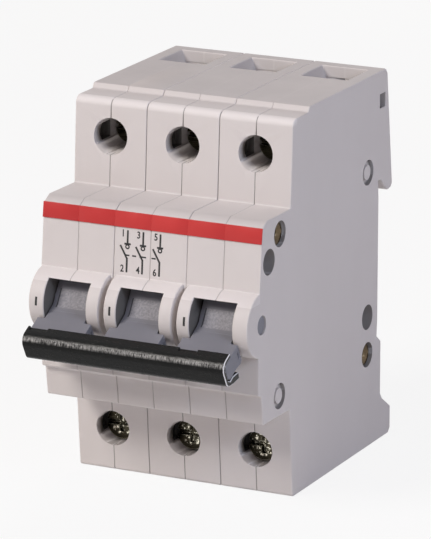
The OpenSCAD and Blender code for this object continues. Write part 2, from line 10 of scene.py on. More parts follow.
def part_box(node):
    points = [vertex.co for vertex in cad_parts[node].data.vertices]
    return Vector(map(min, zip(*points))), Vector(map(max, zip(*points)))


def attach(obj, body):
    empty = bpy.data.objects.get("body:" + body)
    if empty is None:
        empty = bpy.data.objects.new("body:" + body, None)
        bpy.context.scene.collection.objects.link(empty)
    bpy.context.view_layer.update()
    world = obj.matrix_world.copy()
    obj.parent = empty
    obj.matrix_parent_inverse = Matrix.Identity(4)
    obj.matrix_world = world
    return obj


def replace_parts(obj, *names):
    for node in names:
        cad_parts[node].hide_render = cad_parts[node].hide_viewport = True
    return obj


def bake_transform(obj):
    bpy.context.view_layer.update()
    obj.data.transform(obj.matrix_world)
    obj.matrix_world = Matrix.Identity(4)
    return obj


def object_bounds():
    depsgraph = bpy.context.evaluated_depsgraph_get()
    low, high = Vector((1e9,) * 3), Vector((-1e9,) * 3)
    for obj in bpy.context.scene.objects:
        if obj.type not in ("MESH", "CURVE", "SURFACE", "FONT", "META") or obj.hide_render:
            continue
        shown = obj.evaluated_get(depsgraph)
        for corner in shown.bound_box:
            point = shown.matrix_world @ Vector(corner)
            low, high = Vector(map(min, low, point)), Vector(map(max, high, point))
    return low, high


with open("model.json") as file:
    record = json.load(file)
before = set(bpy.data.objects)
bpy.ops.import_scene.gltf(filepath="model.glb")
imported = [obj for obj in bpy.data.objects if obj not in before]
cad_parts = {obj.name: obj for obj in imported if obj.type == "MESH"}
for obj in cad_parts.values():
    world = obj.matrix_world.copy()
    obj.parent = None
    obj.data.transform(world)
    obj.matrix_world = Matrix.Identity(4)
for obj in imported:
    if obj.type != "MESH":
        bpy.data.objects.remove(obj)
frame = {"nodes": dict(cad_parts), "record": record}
cad_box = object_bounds()
nodes = frame["nodes"]

MM = 0.001
POLES = (1, 2, 3)
POLE_PITCH = 17.5
HALF_PITCH = POLE_PITCH / 2


def pole_x(pole):
    """Middle of a pole, in millimetres, counted from the left."""
    return (pole - 2) * POLE_PITCH


def middle_of(node):
    """Middle of a CAD node's box, in millimetres."""
    low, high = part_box(node)
    return (low + high) / 2 / MM


def joint_place(name):
    """Where a joint turns, in millimetres."""
    return next(Vector(j["pos_m"]) / MM for j in frame["record"]["behaviour"]["joints"] if j["name"] == name)


# ---- places, in millimetres -----------------------------------------------
# x runs across the poles from the left, y from the front to the rail, z upward.

PIVOT = joint_place("handle_tilt")
SCREW_LEVEL = (middle_of("upper_screw_2").z - middle_of("lower_screw_2").z) / 2

# Holes in the side faces, as (y, z)
RIVET_HOLES = [(-51.7, 17.8), (-5.6, -21.6)]
LOCATING_HOLES = [(-6.0, 20.7), (-51.6, -18.4)]
ACCESSORY_HOLES = [tuple(c / MM for c in m["pos_m"][1:]) for m in frame["record"]["mounts"]
                   if m["name"].startswith("accessory_hole_right")]
SIDE_HOLES = [*RIVET_HOLES, *ACCESSORY_HOLES, *LOCATING_HOLES, (PIVOT.y, PIVOT.z)]
SIDE_HOLE_R = 2.98
SIDE_HOLE_SHADE = (2.0, 2.75)
SQUARE_HOLE = (1.9, 35.5)
SQUARE_HOLE_HALF = 1.62
SQUARE_HOLE_SHADE = (1.0, 2.8)
SIDE_DEPTH = (22, 26.2)

# Screw tunnels and the slots beside them
TUNNEL_REACH = 6.2
TUNNEL_RISE = 5.2
TUNNEL_SLOT_ASIDE = 4.15
TUNNEL_MOUTH_Y = -44.6
TUNNEL_END_Y = -32
TUNNEL_SHADE_Y = (-44.9, -39.0)

# Openings that the handles swing in
HANDLE_ROOM_REACH = 5.13
HANDLE_ROOM_Y = (-80, -50)
HANDLE_ROOM_Z = (-7.2, 5.34)
DRUM_Y = (-80, -62)
DRUM_Z = (-1.1, 6)
DRUM_PANEL_X = (-3.5, 4.2)
DRUM_GROOVE_X = (-3.8, -3.5)

# Lines where the half shells and the poles meet, the front edges that carry a painted highlight, and the top
# face that carries painted shade
SHELL_LINE_HALF = 0.12
POLE_LINE_FROM = 8.63
LINES_X = (-26, 26)
LINES_Y = (-90, -43.2)
LINES_Z = (-60, 41)
NOSE_TO_TERMINAL_Y = (-47, -46)
TERMINAL_BROW_Y = (-45.3, -43.3)
TERMINAL_BROW_Z = (39.6, 40.9)
NOSE_BROW_Y = (-66.2, -61.4)
NOSE_BROW_Z = (4.8, 7.1)
TOP_FACE_Z = (42.3, 50)

# Painted highlights: the streak along the crest of the tie bar, and where the one on its end starts
CREST_Z = -6.0
CREST_SPREAD = (0.05, 0.62)
BAR_END_HIGHLIGHT_X = 23.6

# Painted glints round the driver recess, on the screws that catch the light
GLINT_LEVEL = 33.4
GLINT_REACH = 2.9
LIT_SCREW_X = 18.8

# Contact pads and the fibre cards of the arc chutes
BRIDGE_PAD_Y = -45.02
FIXED_PAD_REACH = 11.9
FIXED_PAD_Y = -50.38
FIBRE_ASIDE = 6.15


# ---- shared shader effects ------------------------------------------------


class Board:
    """Adds and wires nodes in one tree."""

    def __init__(self, tree):
        self.tree = tree

    def add(self, kind, wires=None, **settings):
        node = self.tree.nodes.new(kind)
        for key, value in settings.items():
            setattr(node, key, value)
        for socket, value in (wires or {}).items():
            self.wire(node.inputs[socket], value)
        return node

    def wire(self, socket, value):
        if isinstance(value, bpy.types.NodeSocket):
            self.tree.links.new(value, socket)
        else:
            socket.default_value = value

    def maths(self, operation, *values):
        node = self.add("ShaderNodeMath", operation=operation)
        for socket, value in zip(node.inputs, values):
            self.wire(socket, value)
        return node.outputs[0]

    def size_of(self, value):
        """A coordinate without its sign."""
        return self.maths("ABSOLUTE", value)

    def both(self, mask, *others):
        """Masks and strengths multiplied together."""
        for other in others:
            mask = self.maths("MULTIPLY", mask, other)
        return mask

    def either(self, mask, *others):
        """The greatest of several masks."""
        for other in others:
            mask = self.maths("MAXIMUM", mask, other)
        return mask

    def over(self, value, limit):
        """1 where a coordinate lies above a limit in millimetres."""
        return self.maths("GREATER_THAN", value, limit * MM)

    def under(self, value, limit):
        """1 where a coordinate lies below a limit in millimetres."""
        return self.maths("LESS_THAN", value, limit * MM)

    def within(self, value, low, high):
        """1 where a coordinate lies between two limits in millimetres."""
        return self.both(self.over(value, low), self.under(value, high))

    def spread(self, value, low, high, to_low=0.0, to_high=1.0):
        """Stretches a range of values to another range, and holds it at the ends."""
        node = self.add("ShaderNodeMapRange", clamp=True)
        for socket, entry in zip(node.inputs, (value, low, high, to_low, to_high)):
            self.wire(socket, entry)
        return node.outputs[0]

    def fade(self, value, places, to_low=0.0, to_high=1.0):
        """Changes from one level to another between two places in millimetres."""
        return self.spread(value, places[0] * MM, places[1] * MM, to_low, to_high)

    def mix(self, factor, a, b):
        node = self.add("ShaderNodeMix", data_type="RGBA")
        self.wire(node.inputs[0], factor)
        self.wire(node.inputs[6], a)
        self.wire(node.inputs[7], b)
        return node.outputs[2]

    def place(self, stretch=(1, 1, 1)):
        """Object coordinates, stretched along an axis for streaks."""
        coords = self.add("ShaderNodeTexCoord").outputs["Object"]
        return self.add("ShaderNodeMapping", {"Vector": coords, "Scale": stretch}).outputs[0]

    def axes(self, vector):
        return self.add("ShaderNodeSeparateXYZ", {0: vector}).outputs

    def facing(self):
        """How far the surface faces along x, y and z."""
        return self.axes(self.add("ShaderNodeNewGeometry").outputs["Normal"])

    def across_pole(self, x):
        """Distance to the right of the middle of the pole that the point is in."""
        return self.maths("WRAP", x, HALF_PITCH * MM, -HALF_PITCH * MM)

    def noise(self, scale, detail=3.0, rough=0.5, stretch=(1, 1, 1)):
        return self.add("ShaderNodeTexNoise", {
            "Vector": self.place(stretch), "Scale": scale, "Detail": detail, "Roughness": rough,
        }).outputs[0]


def effect(name, inputs, outputs):
    """Empty node group with named float inputs and outputs."""
    tree = bpy.data.node_groups.new(name, "ShaderNodeTree")
    for label, value in inputs.items():
        tree.interface.new_socket(label, in_out="INPUT", socket_type="NodeSocketFloat").default_value = value
    for label in outputs:
        tree.interface.new_socket(label, in_out="OUTPUT", socket_type="NodeSocketFloat")
    board = Board(tree)
    return tree, board, board.add("NodeGroupInput").outputs, board.add("NodeGroupOutput").inputs


def build_edge_rub():
    """Mask that is 1 on outer edges, where hands and tools polish them."""
    tree, b, given, out = effect("Edge rub", {"Reach": 0.0005, "Amount": 1.0}, ["Mask"])
    rounded = b.add("ShaderNodeBevel", {"Radius": given["Reach"]}, samples=4).outputs[0]
    flat = b.add("ShaderNodeNewGeometry").outputs["Normal"]
    likeness = b.add("ShaderNodeVectorMath", {0: rounded, 1: flat}, operation="DOT_PRODUCT").outputs["Value"]
    edge = b.spread(likeness, 0.995, 0.86)
    patchy = b.spread(b.noise(420, 3, 0.6), 0.3, 0.75, 0.45, 1.0)
    b.wire(out["Mask"], b.both(edge, patchy, given["Amount"]))
    return tree


def build_moulded_grain():
    """Fine spark-eroded grain of moulded plastic, with slow flow marks."""
    tree, b, given, out = effect("Moulded grain", {"Grain": 9000.0}, ["Height", "Flow"])
    grain = b.add("ShaderNodeTexNoise", {"Vector": b.place(), "Scale": given["Grain"], "Detail": 2.0})
    b.wire(out["Height"], grain.outputs[0])
    b.wire(out["Flow"], b.spread(b.noise(55, 4, 0.55, (1, 1, 0.45)), 0.3, 0.7))
    return tree


def build_streaks():
    """Long fine streaks along X or along Z, for drawn and brushed surfaces."""
    tree, b, given, out = effect("Streaks", {"Across": 6000.0}, ["Along X", "Along Z"])
    for label, stretch in (("Along X", (0.03, 1, 1)), ("Along Z", (1, 1, 0.03))):
        wires = {"Vector": b.place(stretch), "Scale": given["Across"], "Detail": 3.0}
        b.wire(out[label], b.add("ShaderNodeTexNoise", wires).outputs[0])
    return tree


def build_dust():
    """Light settled dust: more on upward faces, broken up in patches."""
    tree, b, given, out = effect("Dust", {"Amount": 0.3}, ["Mask"])
    patches = b.spread(b.noise(160, 5, 0.6), 0.4, 0.75)
    b.wire(out["Mask"], b.both(b.spread(b.facing()[2], 0.2, 1.0), patches, given["Amount"]))
    return tree


EDGE_RUB = build_edge_rub()
MOULDED_GRAIN = build_moulded_grain()
STREAKS = build_streaks()
DUST = build_dust()


# ---- materials ------------------------------------------------------------


class Finish(Board):
    """A material with one Principled shader, its constants set on its own sockets."""

    def __init__(self, name, **constants):
        self.material = bpy.data.materials.new(name)
        self.material.use_nodes = True
        super().__init__(self.material.node_tree)
        self.shader = self.tree.nodes["Principled BSDF"]
        for label, value in constants.items():
            self.shader.inputs[label.replace("_", " ")].default_value = value

    def use(self, tree, **values):
        node = self.add("ShaderNodeGroup", node_tree=tree)
        for label, value in values.items():
            self.wire(node.inputs[label], value)
        return node.outputs

    def colour(self, value):
        self.wire(self.shader.inputs["Base Color"], value)

    def roughness(self, value):
        self.wire(self.shader.inputs["Roughness"], value)

    def relief(self, height, depth, strength):
        bump = self.add("ShaderNodeBump", {"Height": height, "Strength": strength, "Distance": depth})
        self.wire(self.shader.inputs["Normal"], bump.outputs[0])


def side_hole_painted_shade(f, at):
    """Painted shade on the walls of the round and square holes in the side faces."""
    flat = f.add("ShaderNodeCombineXYZ", {1: at[1], 2: at[2]}).outputs[0]
    away = None
    for y, z in SIDE_HOLES:
        leg = f.add("ShaderNodeVectorMath", {0: flat, 1: (0, y * MM, z * MM)}, operation="DISTANCE")
        away = f.maths("MINIMUM", away, leg.outputs["Value"]) if away else leg.outputs["Value"]
    round_ones = f.both(f.fade(away, SIDE_HOLE_SHADE, 0.0, 0.6), f.under(away, SIDE_HOLE_R))
    y, z = SQUARE_HOLE
    square_one = f.both(f.within(at[1], y - SQUARE_HOLE_HALF, y + SQUARE_HOLE_HALF),
                        f.within(at[2], z - SQUARE_HOLE_HALF, z + SQUARE_HOLE_HALF),
                        f.fade(at[1], SQUARE_HOLE_SHADE, 0.9, 0.3))
    return f.both(f.either(round_ones, square_one), f.within(f.size_of(at[0]), *SIDE_DEPTH))


def screw_tunnel_painted_shade(f, at, aside):
    """Painted shade in the screw tunnels, darker the deeper they go, and near black in the slots beside
    them.
    """
    beside = f.size_of(f.maths("SUBTRACT", f.size_of(at[2]), SCREW_LEVEL * MM))
    tunnel = f.both(f.under(aside, TUNNEL_REACH), f.under(beside, TUNNEL_RISE), f.under(at[1], TUNNEL_END_Y))
    slot = f.both(f.over(aside, TUNNEL_SLOT_ASIDE), f.over(at[1], TUNNEL_MOUTH_Y), 0.88)
    return f.both(tunnel, f.either(slot, f.fade(at[1], TUNNEL_SHADE_Y, 0.0, 0.45)))


def handle_room_painted_shade(f, at, aside):
    """Painted shade on the inner walls of the openings that the handles swing in."""
    room = f.both(f.under(aside, HANDLE_ROOM_REACH), f.within(at[2], *HANDLE_ROOM_Z))
    return f.both(room, f.within(at[1], *HANDLE_ROOM_Y), 0.8)


def joint_lines(f, at, aside):
    """Dark lines in front where half shells and poles meet, fainter on the nose."""
    between_shells = f.both(f.under(aside, SHELL_LINE_HALF), 0.5)
    between_poles = f.both(f.over(aside, POLE_LINE_FROM), f.within(at[0], *LINES_X), 0.35)
    lines = f.both(f.either(between_shells, between_poles), f.fade(at[1], NOSE_TO_TERMINAL_Y, 0.45, 1.0))
    return f.both(lines, f.within(at[1], *LINES_Y), f.within(at[2], *LINES_Z))


def painted_shade_and_joint_lines(f, at):
    """Mask of painted shade in the housing's hollows, and of the dark lines where its half shells and poles
    meet.
    """
    aside = f.size_of(f.across_pole(at[0]))
    fronts = f.either(screw_tunnel_painted_shade(f, at, aside), handle_room_painted_shade(f, at, aside))
    return f.either(fronts, side_hole_painted_shade(f, at), joint_lines(f, at, aside))


def brow_highlight(f, at):
    """Painted highlight on the rounded front edges of the terminals and of the nose."""
    terminals = f.both(f.within(at[1], *TERMINAL_BROW_Y), f.fade(at[2], TERMINAL_BROW_Z), 0.6)
    nose = f.both(f.within(at[1], *NOSE_BROW_Y), f.within(at[2], *NOSE_BROW_Z), 0.3)
    return f.either(terminals, nose)


def top_face_shade(f, at):
    """Painted shade: an uneven grey darkening on the upward faces of the top."""
    shade_strength = f.spread(f.noise(90, 4, 0.6), 0.3, 0.7, 0.36, 0.5)
    return f.both(f.spread(f.facing()[2], 0.75, 0.95), f.within(at[2], *TOP_FACE_Z), shade_strength)


def housing_plastic():
    """Pale warm grey, rubbed on its edges, with painted highlights on its front edges and painted shade on
    the top and in its hollows.
    """
    f = Finish("Housing plastic", IOR=1.5, Specular_IOR_Level=0.2)
    grain = f.use(MOULDED_GRAIN, Grain=5200.0)
    rub = f.use(EDGE_RUB, Reach=0.0006, Amount=0.55)["Mask"]
    at = f.axes(f.place())
    shown = f.mix(grain["Flow"], (0.655, 0.615, 0.603, 1), (0.685, 0.645, 0.633, 1))
    shown = f.mix(rub, shown, (0.80, 0.765, 0.75, 1))
    # Painted highlight on the rounded front edges
    shown = f.mix(brow_highlight(f, at), shown, (0.93, 0.89, 0.88, 1))
    # Painted shade darkens the upward faces of the top
    shown = f.mix(top_face_shade(f, at), shown, (0.36, 0.335, 0.335, 1))
    # Painted shade in the hollows, and the dark joint lines
    f.colour(f.mix(painted_shade_and_joint_lines(f, at), shown, (0.035, 0.036, 0.032, 1)))
    f.roughness(f.spread(grain["Flow"], 0, 1, 0.46, 0.54))
    f.relief(grain["Height"], 0.00003, 0.22)
    return f.material


def handle_plastic():
    """Blue grey, with a rougher panel on each drum and painted shade for a groove beside it."""
    f = Finish("Handle plastic", IOR=1.5, Specular_IOR_Level=0.2)
    grain = f.use(MOULDED_GRAIN, Grain=4200.0)
    rub = f.use(EDGE_RUB, Reach=0.0004, Amount=0.5)["Mask"]
    at = f.axes(f.place())
    across = f.across_pole(at[0])
    drum = f.both(f.within(at[2], *DRUM_Z), f.within(at[1], *DRUM_Y))
    speckle = f.spread(f.noise(2300, 2, 0.5), 0.35, 0.65)
    smooth = f.mix(grain["Flow"], (0.208, 0.208, 0.236, 1), (0.236, 0.236, 0.266, 1))
    rough = f.mix(speckle, (0.245, 0.240, 0.268, 1), (0.330, 0.325, 0.355, 1))
    shown = f.mix(f.both(drum, f.within(across, *DRUM_PANEL_X)), smooth, rough)
    # Painted shade: a dark line stands for the groove beside the panel
    shown = f.mix(f.both(drum, f.within(across, *DRUM_GROOVE_X)), shown, (0.075, 0.075, 0.082, 1))
    f.colour(f.mix(rub, shown, (0.38, 0.39, 0.43, 1)))
    f.roughness(f.spread(grain["Flow"], 0, 1, 0.44, 0.56))
    f.relief(grain["Height"], 0.00004, 0.3)
    return f.material


def bar_plastic():
    """Glossy black, scuffed, with a painted highlight streaked along its crest and a pale painted highlight
    on its end.
    """
    f = Finish("Tie bar plastic", IOR=1.52, Specular_IOR_Level=0.16)
    grain = f.use(MOULDED_GRAIN, Grain=2600.0)
    scuffs = f.noise(1500, 5, 0.7, (0.35, 1, 1))
    rub = f.use(EDGE_RUB, Reach=0.0004, Amount=0.6)["Mask"]
    at = f.axes(f.place())
    tilt = f.facing()[0]
    leaning = f.both(f.maths("GREATER_THAN", tilt, 0.15), f.maths("LESS_THAN", tilt, 0.97))
    end_highlight = f.both(f.over(at[0], BAR_END_HIGHLIGHT_X), leaning)
    crest = f.fade(f.size_of(f.maths("SUBTRACT", at[2], CREST_Z * MM)), CREST_SPREAD, 1.0, 0.0)
    ticks = f.spread(f.noise(3600, 3, 0.6, (1, 0.3, 0.3)), 0.38, 0.64)
    shown = f.mix(f.spread(scuffs, 0.45, 0.8), (0.003, 0.003, 0.003, 1), (0.010, 0.010, 0.009, 1))
    shown = f.mix(rub, shown, (0.05, 0.05, 0.05, 1))
    # Painted highlight: a broken streak along the crest
    shown = f.mix(f.both(crest, ticks), shown, (0.42, 0.415, 0.40, 1))
    # Painted highlight on the leaning faces at the bar's end
    f.colour(f.mix(end_highlight, shown, (0.85, 0.85, 0.87, 1)))
    f.roughness(f.spread(scuffs, 0.35, 0.7, 0.14, 0.34))
    f.relief(f.maths("ADD", grain["Height"], scuffs), 0.00010, 0.5)
    return f.material


def strip_print():
    f = Finish("Red strip", IOR=1.48, Specular_IOR_Level=0.4)
    grain = f.use(MOULDED_GRAIN, Grain=5200.0)
    f.colour(f.mix(grain["Flow"], (0.50, 0.026, 0.026, 1), (0.56, 0.036, 0.034, 1)))
    f.roughness(f.spread(grain["Flow"], 0, 1, 0.34, 0.42))
    f.relief(grain["Height"], 0.00002, 0.2)
    return f.material


def mark_ink():
    f = Finish("Mark ink", IOR=1.45)
    spots = f.noise(6500, 3, 0.6)
    f.colour(f.mix(f.spread(spots, 0.35, 0.7), (0.012, 0.012, 0.013, 1), (0.040, 0.038, 0.038, 1)))
    f.roughness(f.spread(spots, 0.3, 0.7, 0.45, 0.65))
    return f.material


def darker(colour, share):
    return (*(part * share for part in colour[:3]), 1)


def metal(name, base, worn, rough, along="Along X", patina=None, glint_spots=None):
    """Drawn or plated metal: streaks, slow tarnish, brighter edges, and painted glints where glint_spots
    marks it.
    """
    f = Finish(name, Metallic=1.0)
    streak = f.use(STREAKS, Across=6000.0)[along]
    rub = f.use(EDGE_RUB, Reach=0.0003, Amount=0.8)["Mask"]
    tarnish = f.spread(f.noise(240, 5, 0.62), 0.42, 0.72)
    # Painted glints, where given, join the rubbed edges in the worn colour
    if glint_spots:
        rub = f.either(rub, glint_spots(f))
    f.colour(f.mix(rub, f.mix(tarnish, base, patina or darker(base, 0.55)), worn))
    f.roughness(f.maths("ADD", f.spread(streak, 0.3, 0.7, *rough), f.spread(tarnish, 0, 1, 0.0, 0.12)))
    f.relief(streak, 0.00002, 0.35)
    return f.material


def two_tone(name, one, other, mask_of, roughness, depth, metallic=0.0):
    """Plain finish whose second tone fills the part of the piece that mask_of marks."""
    f = Finish(name, Metallic=metallic)
    grain = f.use(MOULDED_GRAIN, Grain=3800.0)
    spots = f.spread(f.noise(900, 4, 0.6), 0.3, 0.7)
    first = f.mix(spots, one, darker(one, 0.78))
    second = f.mix(spots, other, darker(other, 0.82))
    f.colour(f.mix(mask_of(f, f.axes(f.place())), first, second))
    f.roughness(f.spread(spots, 0, 1, *roughness))
    f.relief(grain["Height"], depth, 0.4)
    return f.material


def dark_moulding(name, low, high):
    """Dark filled plastic with a little dust, for the parts behind and inside."""
    f = Finish(name, IOR=1.5, Specular_IOR_Level=0.4)
    grain = f.use(MOULDED_GRAIN, Grain=4000.0)
    rub = f.use(EDGE_RUB, Reach=0.0004, Amount=0.4)["Mask"]
    dust = f.use(DUST, Amount=0.25)["Mask"]
    tone = f.mix(rub, f.mix(grain["Flow"], low, high), (0.24, 0.24, 0.25, 1))
    f.colour(f.mix(dust, tone, (0.36, 0.34, 0.32, 1)))
    f.roughness(f.spread(grain["Flow"], 0, 1, 0.42, 0.56))
    f.relief(grain["Height"], 0.00004, 0.3)
    return f.material


def driver_glints(f):
    """Painted glints: bright specks round the driver recess of the lower screws and of the upper right one.
    """
    at = f.axes(f.place())
    beside = f.maths("SUBTRACT", f.size_of(at[2]), GLINT_LEVEL * MM)
    flat = f.add("ShaderNodeCombineXYZ", {0: f.across_pole(at[0]), 1: beside}).outputs[0]
    reach = f.add("ShaderNodeVectorMath", {0: flat}, operation="LENGTH").outputs["Value"]
    lit = f.either(f.under(at[2], 0), f.over(at[0], LIT_SCREW_X))
    return f.both(f.spread(f.noise(1500, 3, 0.6), 0.56, 0.62), f.under(reach, GLINT_REACH), lit)


def bridge_pads(f, at):
    return f.under(at[1], BRIDGE_PAD_Y)


def fixed_pads(f, at):
    return f.both(f.under(f.size_of(at[2]), FIXED_PAD_REACH), f.over(at[1], FIXED_PAD_Y))


def fibre_cards(f, at):
    return f.over(f.size_of(f.across_pole(at[0])), FIBRE_ASIDE)


def silvered_copper(name, pads):
    return two_tone(name, BRIGHT_COPPER, SILVERED, pads, (0.24, 0.40), 0.00001, metallic=1.0)


RED_BROWN_FIBRE = (0.16, 0.075, 0.045, 1)
DULL_STEEL = (0.34, 0.33, 0.32, 1)
BRIGHT_COPPER = (0.80, 0.42, 0.27, 1)
SILVERED = (0.78, 0.77, 0.74, 1)

HOUSING = housing_plastic()
HANDLE = handle_plastic()
BAR = bar_plastic()
STRIP = strip_print()
INK = mark_ink()
SCREW_METAL = metal("Screw passivated", (0.060, 0.052, 0.034, 1), (0.98, 0.92, 0.76, 1), (0.16, 0.34),
                    patina=(0.018, 0.016, 0.011, 1), glint_spots=driver_glints)
CAGE_METAL = metal("Clamp zinc", (0.60, 0.61, 0.61, 1), (0.86, 0.87, 0.88, 1), (0.28, 0.45), "Along Z")
YOKE_METAL = metal("Yoke steel", (0.55, 0.55, 0.56, 1), (0.82, 0.82, 0.83, 1), (0.22, 0.40))
WIRE_METAL = metal("Spring wire", (0.42, 0.42, 0.43, 1), (0.75, 0.75, 0.76, 1), (0.20, 0.34), "Along Z")
RIVET_METAL = metal("Rivet brass", (0.13, 0.095, 0.060, 1), (0.90, 0.78, 0.52, 1), (0.20, 0.38),
                    patina=(0.045, 0.033, 0.022, 1))
BRIDGE_METAL = silvered_copper("Bridge copper", bridge_pads)
FIXED_METAL = silvered_copper("Terminal copper", fixed_pads)
CHUTE = two_tone("Arc chute", DULL_STEEL, RED_BROWN_FIBRE, fibre_cards, (0.45, 0.7), 0.00003)
CARRIER = dark_moulding("Carrier plastic", (0.045, 0.045, 0.050, 1), (0.070, 0.070, 0.076, 1))
CLIP = dark_moulding("Clip plastic", (0.060, 0.060, 0.064, 1), (0.085, 0.085, 0.090, 1))


# ---- making pieces --------------------------------------------------------


def place_piece(name, bm, finish, body, slot, smooth):
    """Turns a finished bmesh into a piece that rides on a body."""
    mesh = bpy.data.meshes.new(name)
    bm.to_mesh(mesh)
    bm.free()
    return settle(bpy.data.objects.new(name, mesh), finish, body, slot, smooth)


def settle(piece, finish, body, slot, smooth):
    """Puts a piece in the scene with its finish, smoothed but for edges sharper than the given angle."""
    bpy.context.scene.collection.objects.link(piece)
    piece.data.materials.clear()
    piece.data.materials.append(finish)
    if smooth:
        piece.data.shade_smooth()
        piece.data.set_sharp_from_angle(angle=radians(smooth))
    if body:
        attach(piece, body)
    return piece if slot else piece


def merged_copy(node):
    """Clean bmesh of a CAD node: doubles merged, flat triangles joined to whole faces."""
    bm = bmesh.new()
    bm.from_mesh(nodes[node].data)
    bmesh.ops.remove_doubles(bm, verts=bm.verts[:], dist=1e-6)
    bmesh.ops.dissolve_limit(bm, angle_limit=radians(0.4), verts=bm.verts[:], edges=bm.edges[:],
                             use_dissolve_boundaries=False)
    return bm


def slimmest(face):
    """Rough width of a narrow face, in metres."""
    return face.calc_area() / max(e.calc_length() for e in face.edges)


def housing_walls():
    """Search tree over all the half shells, for telling open air from chambers."""
    bm = bmesh.new()
    for pole in POLES:
        for side in ("left", "right"):
            bm.from_mesh(nodes[f"pole_{pole}_{side}_shell"].data)
    tree = BVHTree.FromBMesh(bm)
    bm.free()
    return tree


WALLS = housing_walls()
HOLE_FACET = 1.6
SEAM_LINE = 0.2


def in_open_air(edge):
    """True where nothing of the housing stands in front of the edge."""
    out = sum((f.normal for f in edge.link_faces), Vector()).normalized()
    middle = (edge.verts[0].co + edge.verts[1].co) / 2
    return WALLS.ray_cast(middle + out * 0.03 * MM, out)[0] is None


def turn_of(edge):
    """Angle between the two faces at an edge; 0 where there aren't two."""
    return edge.calc_face_angle(0.0) if len(edge.link_faces) == 2 else 0.0


def rims_a_hole(edge):
    """True on the rim of a round hole: a narrow face beside it turns inward to the next one."""
    for face in edge.link_faces:
        if slimmest(face) < HOLE_FACET * MM:
            others = [e for e in face.edges if e != edge and len(e.link_faces) == 2]
            if any(radians(-30) < e.calc_face_angle_signed(0.0) < radians(-2) for e in others):
                return True
    return False


def on_seam(edge):
    """True on the seam of the two half shells of a pole."""
    a, b = (v.co.x for v in edge.verts)
    return any(abs(a - pole_x(pole) * MM) + abs(b - pole_x(pole) * MM) < 0.02 * MM for pole in POLES)


def bevelled(bm, edges, width, segments):
    bmesh.ops.bevel(bm, geom=edges, offset=width * MM, offset_type="OFFSET", segments=segments, profile=0.5,
                    affect="EDGES", clamp_overlap=False, material=-1)


def soften(bm, width, sharper_than=32, segments=2, outer_only=False):
    """Rounds the edges that turn by more than the given angle, but for steps too low to take it."""
    room = width * 0.95 * MM
    bm.normal_update()
    edges = [e for e in bm.edges
             if turn_of(e) > radians(sharper_than) and min(slimmest(f) for f in e.link_faces) > room
             and (not outer_only or (in_open_air(e) and not rims_a_hole(e) and not on_seam(e)))]
    bevelled(bm, edges, width, segments)


def open_seams(bm, width):
    """Leaves a fine line where the half shells meet, but for the top face, where they close."""
    bm.normal_update()
    edges = [e for e in bm.edges
             if on_seam(e) and turn_of(e) > radians(60)
             and min(v.co.z for v in e.verts) < cad_box[1].z - 0.1 * MM and in_open_air(e)]
    bevelled(bm, edges, width, 1)


def softened(node, width, finish, body, slot, segments=2, outer_only=False):
    """The CAD solid with its edges rounded as a mould or a tool leaves them."""
    bm = merged_copy(node)
    if outer_only:
        open_seams(bm, SEAM_LINE)
    soften(bm, width, segments=segments, outer_only=outer_only)
    piece = place_piece(node + "_made", bm, finish, body, slot, 40)
    firm = piece.modifiers.new("Even faces", "WEIGHTED_NORMAL")
    firm.keep_sharp = True
    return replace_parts(piece, node)


def coil(name, matrix, length, mean_r, wire_r, turns, finish, body=None):
    """Helical spring of round wire, swept by a rising spin."""
    bm = bmesh.new()
    ring = bmesh.ops.create_circle(bm, segments=10, radius=wire_r * MM)["verts"]
    bmesh.ops.rotate(bm, verts=ring, cent=(0, 0, 0), matrix=Matrix.Rotation(pi / 2, 3, "X"))
    bmesh.ops.translate(bm, verts=ring, vec=(mean_r * MM, 0, wire_r * MM))
    steps = turns * 20
    rise = (length - 2 * wire_r) * MM / steps
    swept = bmesh.ops.spin(bm, geom=bm.verts[:] + bm.edges[:], cent=(0, 0, 0), axis=(0, 0, 1),
                           dvec=(0, 0, rise), angle=tau * turns, steps=steps, use_merge=False)
    last = [v for v in swept["geom_last"] if isinstance(v, bmesh.types.BMVert)]
    bmesh.ops.contextual_create(bm, geom=ring)
    bmesh.ops.contextual_create(bm, geom=last)
    bmesh.ops.recalc_face_normals(bm, faces=bm.faces[:])
    bmesh.ops.transform(bm, matrix=matrix, verts=bm.verts[:])
    return place_piece(name, bm, finish, body, "spring_steel", 50)


# ---- housing --------------------------------------------------------------

SHELL_EDGE = 0.32
for pole in POLES:
    for side in ("left", "right"):
        softened(f"pole_{pole}_{side}_shell", SHELL_EDGE, HOUSING, "housing", "housing", segments=3,
                 outer_only=True)
softened("housing_rivets", 0.25, RIVET_METAL, "housing", "rivet", segments=3)

# The nose front leans back a little: its foot and its height in millimetres.
NOSE_FOOT = (-61.5, 7.0)
NOSE_LEAN = (0.9, 10.6)
NOSE_UP = Vector((0, *NOSE_LEAN)).normalized()
NOSE_OUT = Vector((0, -NOSE_UP.z, NOSE_UP.y))
NOSE_FACE = Matrix((
    (1, 0, 0, 0),
    (0, NOSE_UP.y, NOSE_OUT.y, NOSE_FOOT[0] * MM),
    (0, NOSE_UP.z, NOSE_OUT.z, NOSE_FOOT[1] * MM),
    (0, 0, 0, 1),
))
# How deep printed marks reach into the plastic and how far they stand out of it
INK_SINK, INK_STAND = 0.05, 0.03
STRIP_GROOVE = 0.08


